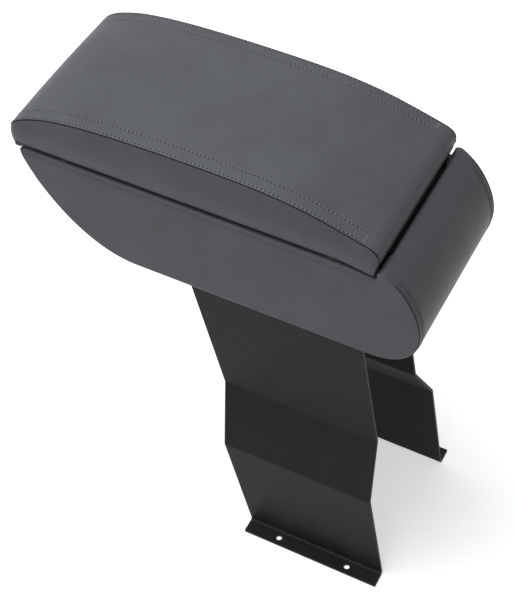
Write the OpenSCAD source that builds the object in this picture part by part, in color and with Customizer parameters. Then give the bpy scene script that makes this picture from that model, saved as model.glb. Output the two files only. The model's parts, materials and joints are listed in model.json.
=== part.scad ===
// Car centre armrest: a padded hinged lid on an upholstered storage box, carried by a folded steel saddle
// bracket whose feet are screwed down on both sides of the tunnel.
// +X runs from the nose to the hinge end, +Z up. The origin is on the floor under the middle of the armrest.

/* [Armrest body] */
// Width over the upholstery
body_w = 151; // [130:1:165]
// Height of the box from its underside to the rim
box_h = 86; // [75:1:100]
// Where the front of the box meets the rim, ahead of the origin
box_front = 167.5; // [155:0.5:180]
// Where the hump reaches furthest back, behind the origin
box_back = 177.5; // [165:0.5:190]
// Depth of the hump behind the hinge
hump_depth = 37; // [32:0.5:45]
// Length of the curve from the front of the box to its level underside
bow_run = 97; // [80:1:110]
// Length of the curve from the level underside to the back of the hump
back_run = 39.5; // [30:0.5:50]
// Rise of the hump above the rim
hump_rise = 8; // [7:0.5:10]
// Room between the rim and the underside of the lid
lid_gap = 2.7; // [1.5:0.1:4]

/* [Lid] */
// Height of the lid's sewn edge above its underside
lid_rise = 44; // [36:0.5:50]
// Overhang of the nose past the front of the box
nose_over = 9.8; // [2:0.1:12]
// Length of the curve from the lid's nose to its level top
nose_run = 167; // [140:1:180]
// How far the seams stand in from the sides
seam_inset = 2.5; // [2:0.5:8]
// Height of the crown across the lid
lid_crown = 4.5; // [0:0.5:8]
// Thickness of the lid board
lid_board_t = 6; // [4:0.5:9]
// Thickness of the lid's leatherette
lid_skin_t = 1.8; // [1:0.1:2.5]

/* [Box] */
// Thickness of the padded leatherette on the box
skin_t = 3; // [2:0.5:5]
// Thickness of the plywood side plates
plate_t = 8; // [5:0.5:12]
// Thickness of the floor board
floor_t = 8; // [6:0.5:12]
// Thickness of the bent front panel
bow_t = 4; // [3:0.5:6]
// Thickness of the rear wall
rear_t = 8; // [6:0.5:12]
// Thickness of the felt lining
felt_t = 1.5; // [1:0.1:3]

/* [Saddle bracket] */
// Height of the box above the floor
stand_h = 301.5; // [200:0.5:340]
// Thickness of the steel sheet
sheet_t = 2.5; // [1.5:0.1:4]
// Inside radius of the folds
fold_r = 2; // [1:0.5:5]
// Width of the sheet where it meets the box
leg_w = 160; // [120:1:180]
// Distance between the outsides of the legs at the top
waist_w = 83.6; // [70:0.2:110]
// Distance between the outsides of the legs at the feet
stance_w = 139.6; // [110:0.2:180]
// Height of the lower fold above the floor
fold_low = 101; // [60:1:120]
// Height of the upper fold above the floor
fold_high = 150; // [125:0.5:170]
// Width of each foot
foot_w = 14.5; // [12:0.1:25]
// How far the legs lean back for each unit of height
lean = 0.223; // [0:0.001:0.3]
// How far each edge of a leg comes in for each unit of height
taper = 0.049; // [0:0.001:0.08]
// Where the middle of the bracket meets the box, behind the origin
bracket_x = 32.6; // [20:0.2:60]
// Diameter of the screw holes in the feet
foot_hole_d = 5.5; // [4:0.5:8]
// Distance between the two holes of a foot
foot_hole_gap = 68.2; // [40:0.2:90]

/* [Hinge] */
// Diameter of the hinge pin
pin_d = 2.5; // [2.4:0.1:4]
// Thickness of the hinge leaves
leaf_t = 1.2; // [1:0.1:1.6]
// Thickness of the leatherette lip over the hinge
lip_t = 1.2; // [0.8:0.1:1.6]
// Length of the hinge
hinge_l = 100; // [60:1:110]
// Number of knuckles
knuckles = 5; // [3:2:9]
// Radial running clearance of the pin
pin_clear = 0.05; // [0.02:0.01:0.1]

/* [Fasteners] */
// Diameter of the bolts that hold the box to the bracket
bolt_d = 6; // [5:1:8]
// Distance between the bolts along the box
bolt_gap_x = 110; // [80:1:120]
// Distance between the bolts across the box
bolt_gap_y = 50; // [36:1:60]
// Shank diameter of the wood screws
screw_d = 3; // [2.5:0.1:4]
// Clearance round shanks and between loose fits
play = 0.2; // [0.1:0.05:0.4]

/* [Hidden] */
$fn = 32;

leather_colour = [0.36, 0.37, 0.39];
steel_colour = [0.12, 0.12, 0.12];
zinc_colour = [0.72, 0.73, 0.74];
wood_colour = [0.72, 0.58, 0.40];
foam_colour = [0.80, 0.78, 0.62];
felt_colour = [0.10, 0.10, 0.11];
rubber_colour = [0.08, 0.08, 0.08];

// How far a cut runs past the face that it goes through, and a length past every piece
cut = 1;
far = 2 * box_back;

half_w = body_w / 2;
carcass_half = half_w - skin_t;
inner_half = carcass_half - plate_t;

// Heights above the floor
rim_z = stand_h + box_h;
turn_t = 1;
plate_top = rim_z - turn_t;
floor_low = stand_h + skin_t;
floor_top = floor_low + floor_t;
lid_z = rim_z + lid_gap;
hump_z = rim_z + hump_rise;

// The hinge line and what stands round it
lift_gap = 0.5;
knuckle_wall = 0.7;
knuckle_r = pin_d / 2 + knuckle_wall;
wall_x = box_back - hump_depth;
pin_x = wall_x - leaf_t + knuckle_r;
pin_z = hump_z - lip_t - knuckle_r - play;
// the lid's back passes over the hump when it stands upright
lid_back = pin_x - (hump_z - pin_z) - lift_gap;
lip_x = pin_x + play;

// Points on a cubic curve
function on_curve(p, t) = pow(1 - t, 3) * p[0] + 3 * pow(1 - t, 2) * t * p[1]
    + 3 * (1 - t) * t * t * p[2] + pow(t, 3) * p[3];
function curve(p, n, first = 0) = [for (i = [first:n]) on_curve(p, i / n)];
function unit(v) = v / norm(v);
function left_of(v) = [-v[1], v[0]];

// Normals of an open line of points, each on the left as the line runs
function side_at(p, i) = let (n = len(p),
    a = unit(p[min(i, n - 2) + 1] - p[min(i, n - 2)]),
    b = unit(p[max(i, 1)] - p[max(i, 1) - 1]))
    left_of(a + b) / (1 + a * b);
function shifted(p, d) = [for (i = [0:len(p) - 1]) p[i] + d * side_at(p, i)];
function reversed(p) = [for (i = [len(p) - 1:-1:0]) p[i]];

// Level run at the top of the hump before its curve starts
hump_flat = 4;
// Side line of the box from the rim at the front, under the box and up to the top of the hump
function box_line() = concat(
    curve([[-box_front, rim_z], [-box_front + bow_run * 0.113, rim_z - box_h * 0.36],
        [-box_front + bow_run * 0.505, stand_h + box_h * 0.032], [-box_front + bow_run, stand_h]], 14),
    curve([[box_back - back_run, stand_h], [box_back - back_run * 0.43, stand_h],
        [box_back, stand_h + box_h * 0.15], [box_back, stand_h + box_h * 0.43]], 9),
    curve([[box_back, stand_h + box_h * 0.43], [box_back, stand_h + box_h * 0.7],
        [box_back - back_run * 0.443, hump_z - hump_rise], [wall_x + hump_flat, hump_z]], 12, 1));

// Side line of the lid's seam from the underside of the nose over the top to the underside at the hinge
nose_x = -box_front - nose_over;
seam_z = lid_z + lid_rise;
heel_run = 7.5;
function lid_at(x, share) = [nose_x + x, lid_z + lid_rise * share];
function lid_line() = concat(
    curve([lid_at(nose_run * 0.066, 0), lid_at(-nose_run * 0.03, 0), lid_at(-nose_run * 0.042, 0.5),
        lid_at(nose_run * 0.15, 0.725)], 12),
    curve([lid_at(nose_run * 0.15, 0.725), lid_at(nose_run * 0.3, 0.954), lid_at(nose_run * 0.63, 1),
        lid_at(nose_run, 1)], 9, 1),
    curve([lid_at(nose_run, 1), [lid_back - nose_run * 0.44, seam_z],
        [lid_back - nose_run * 0.33, lid_z + lid_rise * 0.868],
        [lid_back - heel_run, lid_z + lid_rise * 0.552]], 10, 1),
    curve([[lid_back - heel_run, lid_z + lid_rise * 0.552], [lid_back - heel_run * 0.4, lid_z + lid_rise * 0.49],
        [lid_back, lid_z + lid_rise * 0.46], [lid_back, lid_z + lid_rise * 0.26]], 6, 1),
    [[lid_back, lid_z]]);

// A flat shape in the X-Z plane, given thickness across the armrest
module across(low, high) {
    translate([0, high, 0]) rotate([90, 0, 0]) linear_extrude(high - low) children();
}

// A closed skin through equal rings of points
module skin_of(rings) {
    n = len(rings[0]);
    m = len(rings);
    polyhedron(
        points = [for (r = rings) each r],
        faces = concat(
            [[for (i = [0:n - 1]) i]],
            [for (k = [0:m - 2], i = [0:n - 1]) let (a = k * n + i, b = k * n + (i + 1) % n) each
                [[a, a + n, b], [b, a + n, b + n]]],
            [[for (i = [n - 1:-1:0]) (m - 1) * n + i]]),
        convexity = 6);
}

// Saddle bracket

// The middle of the sheet from one foot up to the middle of the top, as Y-Z points
foot_out = stance_w / 2 + foot_w;
function half_section() = let (inside = sheet_t / 2) [[foot_out, inside], [stance_w / 2 - inside, inside],
    [stance_w / 2 - inside, fold_low], [waist_w / 2 - inside, fold_high], [waist_w / 2 - inside, stand_h - inside]];

// A line of points with its corners rounded by arcs
function rounded(p, r) = [for (i = [0:len(p) - 1]) each
    (i == 0 || i == len(p) - 1) ? [p[i]] :
    let (a = unit(p[i - 1] - p[i]), b = unit(p[i + 1] - p[i]),
        turn = acos(max(-1, min(1, a * b))), reach = r / tan(turn / 2),
        m = unit(a + b), c = p[i] + m * (r / sin(turn / 2)),
        s = p[i] + a * reach - c, e = p[i] + b * reach - c)
    [for (k = [0:5]) c + r * unit(s * (1 - k / 5) + e * (k / 5))]];

module saddle_section() {
    half = half_section();
    line = rounded(concat(half, [for (p = reversed(half)) [-p[0], p[1]]]), fold_r + sheet_t / 2);
    polygon(concat(shifted(line, sheet_t / 2), reversed(shifted(line, -sheet_t / 2))));
}

// Where a leg's front or rear edge lies at a height
function leg_edge(s, z) = bracket_x + lean * (stand_h - z) + s * (leg_w / 2 - taper * (stand_h - z));
module leg_outline() {
    polygon([for (end = [[-1, stand_h + cut], [-1, -cut], [1, -cut], [1, stand_h + cut]])
        [leg_edge(end[0], end[1]), end[1]]]);
}

foot_x = leg_edge(0, 0);
foot_hole_out = 0.4;
foot_hole_y = stance_w / 2 + foot_w / 2 + foot_hole_out;
module saddle_bracket() {
    color(steel_colour) difference() {
        intersection() {
            translate([-box_front, 0, 0]) rotate([90, 0, 90]) linear_extrude(2 * box_back) saddle_section();
            across(-foot_out - cut, foot_out + cut) leg_outline();
        }
        for (sx = [-1, 1], sy = [-1, 1])
            translate([foot_x + sx * foot_hole_gap / 2, sy * foot_hole_y, -cut])
                cylinder(d = foot_hole_d, h = sheet_t + 2 * cut);
        at_bolts() translate([0, 0, stand_h - sheet_t - cut])
            cylinder(d = bolt_d + 2 * play, h = sheet_t + 2 * cut);
    }
}

// Bolts between bracket and box

head_t = 4;
head_d = bolt_d * 1.9;
washer_t = 1.6;
washer_d = bolt_d * 2.1;
nut_t = 1.5;
nut_d = 17;
barrel_wall = 1.2;
barrel_d = bolt_d + 2 * barrel_wall;
barrel_h = floor_t - cut;
module at_bolts() {
    for (sx = [-1, 1], sy = [-1, 1])
        translate([bracket_x + sx * bolt_gap_x / 2, sy * bolt_gap_y / 2, 0]) children();
}

module bracket_bolts() {
    head_top = stand_h - sheet_t - washer_t;
    color(zinc_colour) at_bolts() {
        translate([0, 0, head_top - head_t]) cylinder(d = head_d, h = head_t, $fn = 6);
        translate([0, 0, head_top - head_t / 4]) cylinder(d = bolt_d, h = floor_top - head_top);
    }
}

module bracket_washers() {
    color(zinc_colour) at_bolts() translate([0, 0, stand_h - sheet_t - washer_t]) difference() {
        cylinder(d = washer_d, h = washer_t);
        translate([0, 0, -cut]) cylinder(d = bolt_d + 2 * play, h = washer_t + 2 * cut);
    }
}

module tee_nuts() {
    color(zinc_colour) at_bolts() difference() {
        union() {
            translate([0, 0, floor_top - nut_t]) cylinder(d = nut_d, h = nut_t);
            translate([0, 0, floor_top - barrel_h]) cylinder(d = barrel_d, h = barrel_h);
        }
        translate([0, 0, floor_low]) cylinder(d = bolt_d + 2 * pin_clear, h = floor_t + cut);
    }
}

// Plywood carcass

screw_l = 25;
screw_end = 20;
rail = 12;
rail_in = 4;
function inner_line() = shifted(box_line(), skin_t);
function cavity_line(d) = shifted(box_line(), skin_t + bow_t + d);
floor_front = -box_front + bow_run;

// Everything inside the leatherette, in the X-Z plane
module core_outline() {
    difference() {
        polygon(concat(inner_line(), [[wall_x, hump_z - skin_t]]));
        translate([-far, plate_top]) square([wall_x + far, far]);
    }
}

// The space behind the bow panel and above the floor, drawn in by d all round
module cavity_outline(d) {
    difference() {
        polygon(concat(cavity_line(d), [[wall_x, hump_z]]));
        translate([floor_front - d, 0]) square([far, floor_top + d]);
        translate([wall_x - leaf_t - play - d, 0]) square([far, far * 2]);
        translate([-far, plate_top - rail - d]) square([far + rail_back + d, rail + 2 * d + far]);
    }
}

// Back of the front rail
rail_back = -box_front + skin_t + bow_t + rail + rail_in;

// Screw places in the X-Z plane: along the floor, up the rear wall and in the rail
wall_mid = wall_x + rear_t / 2;
floor_mid = floor_low + floor_t / 2;
screw_places = [[floor_front + screw_end, floor_mid], [(floor_front + wall_x) / 2, floor_mid],
    [wall_x - screw_end, floor_mid], [wall_mid, floor_top + screw_end], [wall_mid, rim_z - screw_end],
    [rail_back - rail / 2, plate_top - rail / 2]];
module at_side_screws(s) {
    for (p = screw_places) translate([p[0], s * carcass_half, p[1]]) rotate([-s * 90, 0, 0]) children();
}

// A countersunk wood screw with its flat face at z = 0
module wood_screw(length, d) {
    point = d * 0.8;
    head = d * 0.5;
    translate([0, 0, -head]) cylinder(d1 = d, d2 = d * 2, h = head);
    translate([0, 0, point - length]) cylinder(d = d, h = length - point - head);
    translate([0, 0, -length]) cylinder(d1 = d * 0.25, d2 = d, h = point);
}

// The room that such a screw takes
module screw_room(length, d) {
    translate([0, 0, -d * 0.5 - play]) cylinder(d1 = d + 2 * play, d2 = d * 2 + 2 * play, h = d * 0.5 + play);
    translate([0, 0, -length - play]) cylinder(d = d + 2 * play, h = length);
    cylinder(d = d * 2 + 2 * play, h = cut);
}

module side_plate(s) {
    color(wood_colour) difference() {
        across(s > 0 ? inner_half : -carcass_half, s > 0 ? carcass_half : -inner_half) core_outline();
        at_side_screws(s) screw_room(screw_l, screw_d);
    }
}

module floor_board() {
    color(wood_colour) difference() {
        across(-inner_half, inner_half) intersection() {
            core_outline();
            translate([floor_front, floor_low]) square([wall_x + rear_t - floor_front, floor_t]);
        }
        at_bolts() translate([0, 0, floor_low - cut]) cylinder(d = barrel_d + 2 * play, h = floor_t + 2 * cut);
        at_bolts() translate([0, 0, floor_top - nut_t]) cylinder(d = nut_d + 2 * play, h = nut_t + cut);
        for (s = [-1, 1]) at_side_screws(s) screw_room(screw_l, screw_d);
    }
}

module bow_panel() {
    color(wood_colour) across(-inner_half, inner_half) difference() {
        core_outline();
        polygon(concat(cavity_line(0), [[wall_x, hump_z], [-box_front + skin_t + bow_t, hump_z]]));
        translate([floor_front, 0]) square([far, far * 2]);
    }
}

module front_rail() {
    color(wood_colour) difference() {
        across(-inner_half, inner_half) intersection() {
            polygon(concat(cavity_line(0), [[wall_x, hump_z]]));
            translate([-far, plate_top - rail]) square([far + rail_back, rail]);
        }
        for (s = [-1, 1]) at_side_screws(s) screw_room(screw_l, screw_d);
    }
}

module rear_wall() {
    color(wood_colour) difference() {
        across(-inner_half, inner_half) intersection() {
            core_outline();
            translate([wall_x, floor_top]) square([rear_t, far]);
        }
        for (s = [-1, 1]) at_side_screws(s) screw_room(screw_l, screw_d);
        at_wall_screws() screw_room(hinge_screw_l, hinge_screw_d);
        hinge_room();
    }
}

module carcass_screws() {
    color(zinc_colour) for (s = [-1, 1]) at_side_screws(s) wood_screw(screw_l, screw_d);
}

module hump_pad() {
    color(foam_colour) across(-inner_half, inner_half) intersection() {
        core_outline();
        translate([wall_x + rear_t, 0]) square([far, far * 2]);
    }
}

module compartment_lining() {
    low = leaf_low - cut;
    color(felt_colour) difference() {
        across(-inner_half, inner_half) cavity_outline(0);
        across(felt_t - inner_half, inner_half - felt_t) union() {
            cavity_outline(felt_t);
            translate([rail_back + felt_t, plate_top - rail - 2 * felt_t])
                square([wall_x - rail_back - rail, far]);
        }
        across(felt_t - inner_half, inner_half - felt_t) translate([wall_x - rail, low]) square([far, far]);
        across(-far, far) translate([-far, plate_top - felt_t / 3]) square([2 * far, far]);
    }
}

// Upholstery of the box

// The band round the front, the bottom and the hump, between the two side panels
module box_wrap_cover() {
    color(leather_colour) difference() {
        union() {
            across(-carcass_half, carcass_half)
                polygon(concat(box_line(), [[wall_x, hump_z], [wall_x, hump_z - skin_t]], reversed(inner_line())));
            // the turned-over edge on the bow panel and the rail
            across(-inner_half, inner_half) translate([-box_front + skin_t, plate_top])
                square([rail_back + box_front - skin_t, turn_t]);
        }
        at_bolts() translate([0, 0, stand_h - cut]) cylinder(d = bolt_d + 2 * play, h = skin_t + 2 * cut);
        hinge_room();
    }
}

// The panel on a side plate: rounded at its edge and rim, and turned over the plate's upper edge and hump end
edge_steps = [for (k = [0:4]) [skin_t * sin(k * 22.5), skin_t * (1 - cos(k * 22.5))]];
function side_ring(y, e) = let (front = wall_x - turn_t + 0.8 * e)
    [for (p = concat(shifted(box_line(), e), [[front, hump_z - e], [front, rim_z - e]]))
        [p[0], y, p[0] < front ? min(p[1], rim_z - e) : p[1]]];
module box_side_cover(s) {
    color(leather_colour) mirror([0, s > 0 ? 0 : 1, 0]) union() {
        skin_of(reversed([for (step = edge_steps) side_ring(carcass_half + step[0], step[1])]));
        across(inner_half, carcass_half) translate([-box_front + skin_t + turn_t, plate_top])
            square([wall_x - skin_t - turn_t + box_front, turn_t]);
        across(inner_half, carcass_half) translate([wall_x - turn_t, plate_top])
            square([turn_t, hump_z - skin_t - plate_top]);
    }
}

// Rubber domes on the rim, which the lid rests on
buffer_d = 8;
buffer_h = lid_gap - play;
buffer_in = 40;
module rim_buffers() {
    color(rubber_colour) for (x = [-box_front + buffer_in, wall_x - buffer_in], s = [-1, 1])
        translate([x, s * (inner_half + plate_t / 2), rim_z]) {
            cylinder(d = buffer_d, h = buffer_h * 0.6);
            translate([0, 0, buffer_h * 0.6]) cylinder(d1 = buffer_d, d2 = buffer_d * 0.7, h = buffer_h * 0.4);
        }
}

// Hinge

leaf_drop = 22;
leaf_low = pin_z - leaf_drop;
leaf_run = 24;
board_z = lid_z + lid_skin_t;
hinge_screw_d = 2.5;
hinge_screw_l = 7;
hinge_screw_pitch = hinge_l * 0.27;
hinge_screw_ys = [for (k = [-1.5, -0.5, 0.5, 1.5]) k * hinge_screw_pitch];
segment = hinge_l / knuckles;
seg_gap = 0.3;
swing_gap = 0.3;
end_gap = 0.5;
screw_rise = 7;
screw_back = 16;

module at_wall_screws() {
    for (y = hinge_screw_ys) translate([wall_x - leaf_t, y, leaf_low + screw_rise]) rotate([0, -90, 0]) children();
}

module at_lid_screws() {
    for (y = hinge_screw_ys) translate([pin_x - screw_back, y, board_z - leaf_t]) rotate([180, 0, 0]) children();
}

// The room in the rear wall and under the leatherette lip that the knuckles turn in
module hinge_room() {
    low = pin_z - knuckle_r - 2 * play;
    translate([wall_x - rear_t, -hinge_l / 2 - end_gap, low]) {
        cube([pin_x + knuckle_r + 2 * play - wall_x + rear_t, hinge_l + 2 * end_gap, hump_z - lip_t - low]);
        cube([lip_x - wall_x + rear_t, hinge_l + 2 * end_gap, far]);
    }
}

// One leaf's knuckles, bored for the pin: every second one, beginning with the first or the second
module knuckle_row(first) {
    for (k = [first:2:knuckles - 1])
        translate([pin_x, -hinge_l / 2 + (k + 1) * segment - seg_gap / 2, pin_z]) rotate([90, 0, 0])
            cylinder(r = knuckle_r, h = segment - seg_gap);
}

module pin_bore() {
    translate([pin_x, hinge_l / 2 + cut, pin_z]) rotate([90, 0, 0])
        cylinder(d = pin_d + 2 * pin_clear, h = hinge_l + 2 * cut);
}

// The room round the other leaf's knuckles
module knuckle_room(first) {
    for (k = [first:2:knuckles - 1])
        translate([pin_x, -hinge_l / 2 + (k + 1) * segment + seg_gap / 2, pin_z]) rotate([90, 0, 0])
            cylinder(r = knuckle_r + swing_gap, h = segment + seg_gap);
}

// The slots beside one leaf's knuckles that the other leaf passes through
module leaf_slots(first) {
    for (k = [first:2:knuckles - 1])
        translate([pin_x - knuckle_r - swing_gap, -hinge_l / 2 + k * segment - seg_gap / 2,
            board_z - leaf_t - swing_gap]) cube([2 * knuckle_r, segment + seg_gap, far]);
}

module hinge_box_leaf() {
    color(steel_colour) difference() {
        union() {
            difference() {
                translate([wall_x - leaf_t, -hinge_l / 2, leaf_low]) cube([leaf_t, hinge_l, pin_z - leaf_low]);
                knuckle_room(1);
                leaf_slots(1);
            }
            knuckle_row(0);
        }
        pin_bore();
        at_wall_screws() screw_room(hinge_screw_l, hinge_screw_d);
    }
}

module hinge_lid_leaf() {
    color(steel_colour) difference() {
        union() {
            difference() {
                translate([pin_x - leaf_run, -hinge_l / 2, board_z - leaf_t]) cube([leaf_run, hinge_l, leaf_t]);
                knuckle_room(0);
                leaf_slots(0);
            }
            knuckle_row(1);
        }
        pin_bore();
        at_lid_screws() screw_room(hinge_screw_l, hinge_screw_d);
    }
}

module hinge_pin() {
    color(steel_colour) translate([pin_x, hinge_l / 2, pin_z]) rotate([90, 0, 0]) cylinder(d = pin_d, h = hinge_l);
}

module hinge_box_screws() {
    color(zinc_colour) at_wall_screws() wood_screw(hinge_screw_l, hinge_screw_d);
}

module hinge_lid_screws() {
    color(zinc_colour) at_lid_screws() wood_screw(hinge_screw_l, hinge_screw_d);
}

// Lid

seam_y = half_w - seam_inset;
hem = 12;

// The seam's side line drawn in by d, closed level at the bottom
function lid_inner(d) = d == 0 ? lid_line() : let (s = shifted(lid_line(), -d)) concat(
    [[s[0][0], lid_z + d]], [for (p = s) if (p[1] > lid_z + d + play) p], [[lid_back - d, lid_z + d]]);

// How the side rises and leans in: height fraction and place across
side_steps = [0.12, 0.35, 0.6, 0.82, 1];
function lean_in(f) = seam_inset * pow(f, 1.7);
function lid_ring(line, base, y, f, crown) =
    [for (p = line) [p[0], y, base + (p[1] - base) * f + crown * (p[1] - base) / (seam_z - base)]];
module lid_form(d) {
    line = lid_inner(d);
    base = lid_z + d;
    skin_of(concat(
        [for (f = side_steps) lid_ring(line, base, -(half_w - lean_in(f) - d), f, 0)],
        [for (t = [-0.75:0.25:0.75]) lid_ring(line, base, (seam_y - d) * t, 1, lid_crown * (1 - t * t))],
        [for (f = reversed(side_steps)) lid_ring(line, base, half_w - lean_in(f) - d, f, 0)]));
}

// The opening in the turned-under covers that the lining fills
under_x = lid_line()[0][0];
window_x = [under_x + hem, lid_back - hem];
window_y = half_w - hem;
module lid_window(d, low, high) {
    translate([window_x[0] + d, d - window_y, low])
        cube([window_x[1] - window_x[0] - 2 * d, 2 * (window_y - d), high - low]);
}

module leaf_room() {
    translate([pin_x - leaf_run - end_gap, -hinge_l / 2 - end_gap, lid_z - cut])
        cube([leaf_run + 2 * knuckle_r, hinge_l + 2 * end_gap, board_z - lid_z + cut]);
}

module lid_shell() {
    difference() {
        lid_form(0);
        lid_form(lid_skin_t);
        lid_window(0, lid_z - cut, board_z + pin_clear);
        leaf_room();
    }
}

module lid_top_cover() {
    color(leather_colour) intersection() {
        lid_shell();
        translate([-far, -seam_y, 0]) cube([2 * far, 2 * seam_y, 4 * far]);
    }
}

module lid_side_cover(s) {
    color(leather_colour) intersection() {
        lid_shell();
        translate([-far, s > 0 ? seam_y : -seam_y - far, 0]) cube([2 * far, far, 4 * far]);
    }
}

board_in = 3;
board_r = 8;
board_x = [under_x + board_in, lid_back - lid_skin_t - board_in];
board_y = half_w - lid_skin_t - board_in;
module board_form() {
    run = board_x[1] - board_x[0];
    translate([board_x[0], 0, board_z]) linear_extrude(lid_board_t) {
        translate([board_r, -board_y]) square([run - 2 * board_r, 2 * board_y]);
        translate([0, board_r - board_y]) square([run, 2 * (board_y - board_r)]);
        for (x = [board_r, run - board_r], s = [-1, 1]) translate([x, s * (board_y - board_r)]) circle(board_r);
    }
}

module lid_board() {
    color(wood_colour) difference() {
        board_form();
        at_lid_screws() screw_room(hinge_screw_l, hinge_screw_d);
    }
}

module lid_foam() {
    color(foam_colour) difference() {
        lid_form(lid_skin_t);
        board_form();
    }
}

module lid_lining() {
    color(felt_colour) difference() {
        lid_window(end_gap, board_z - felt_t, board_z);
        leaf_room();
    }
}

saddle_bracket();
bracket_bolts();
bracket_washers();
tee_nuts();
side_plate(1);  // side_plate_left
side_plate(-1);  // side_plate_right
floor_board();
bow_panel();
front_rail();
rear_wall();
carcass_screws();
hump_pad();
compartment_lining();
box_wrap_cover();
box_side_cover(1);  // box_side_cover_left
box_side_cover(-1);  // box_side_cover_right
rim_buffers();
hinge_box_leaf();
hinge_pin();
hinge_box_screws();
hinge_lid_leaf();
hinge_lid_screws();
lid_board();
lid_foam();
lid_top_cover();
lid_side_cover(1);  // lid_side_cover_left
lid_side_cover(-1);  // lid_side_cover_right
lid_lining();
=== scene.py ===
"""Car centre armrest: a cushioned lid on an upholstered storage box over a folded steel saddle.

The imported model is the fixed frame. The upholstery is modelled here around it: the lid's cushion with
its side gussets and double topstitching, and the box's skin with its padded hump. The carcass, the hinge
and the bracket are the frame's own pieces and get their finishes. Lengths are in metres.
"""
from __future__ import annotations

import json
import logging
import math
from dataclasses import dataclass, field
from enum import Enum

import bmesh
import bpy
from mathutils import Matrix, Vector
from mathutils.bvhtree import BVHTree

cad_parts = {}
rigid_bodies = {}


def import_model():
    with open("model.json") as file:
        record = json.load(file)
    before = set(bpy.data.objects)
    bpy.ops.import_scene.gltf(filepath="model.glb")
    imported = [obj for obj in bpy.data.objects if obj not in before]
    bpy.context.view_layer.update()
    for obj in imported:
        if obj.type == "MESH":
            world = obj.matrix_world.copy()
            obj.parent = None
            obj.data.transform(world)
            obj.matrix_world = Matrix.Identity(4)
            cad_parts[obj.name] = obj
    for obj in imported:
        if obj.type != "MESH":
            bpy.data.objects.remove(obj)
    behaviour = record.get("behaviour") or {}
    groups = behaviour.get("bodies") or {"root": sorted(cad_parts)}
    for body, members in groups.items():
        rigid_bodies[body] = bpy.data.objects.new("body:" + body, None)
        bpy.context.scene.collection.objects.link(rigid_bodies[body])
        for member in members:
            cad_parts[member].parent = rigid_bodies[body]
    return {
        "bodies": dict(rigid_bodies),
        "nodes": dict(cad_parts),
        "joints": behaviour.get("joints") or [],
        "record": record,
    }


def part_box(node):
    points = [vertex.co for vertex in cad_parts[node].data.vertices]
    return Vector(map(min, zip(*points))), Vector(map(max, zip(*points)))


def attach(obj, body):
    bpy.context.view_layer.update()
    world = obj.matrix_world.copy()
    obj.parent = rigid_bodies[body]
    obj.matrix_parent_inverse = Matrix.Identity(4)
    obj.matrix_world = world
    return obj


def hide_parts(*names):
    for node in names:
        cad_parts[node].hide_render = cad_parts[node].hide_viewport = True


LOG = logging.getLogger("armrest")
MM = 0.001
CURVE_STEPS = 60

Colour = tuple[float, float, float]
Curve = list[tuple[float, float]]


class Body(Enum):
    """The two rigid bodies that pieces ride on."""

    BASE = "base"
    LID = "lid"


class Slot(Enum):
    """A material slot of the record, named for the leatherette; nothing here reads it."""

    LEATHERETTE = "leatherette"


class Panel(Enum):
    """The panels of the upholstery: the sides, and the one that runs between them."""

    NEAR = "near"
    MIDDLE = "middle"
    FAR = "far"


SIDES = {Panel.NEAR: -1.0, Panel.FAR: 1.0}


# Shader graphs


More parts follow.
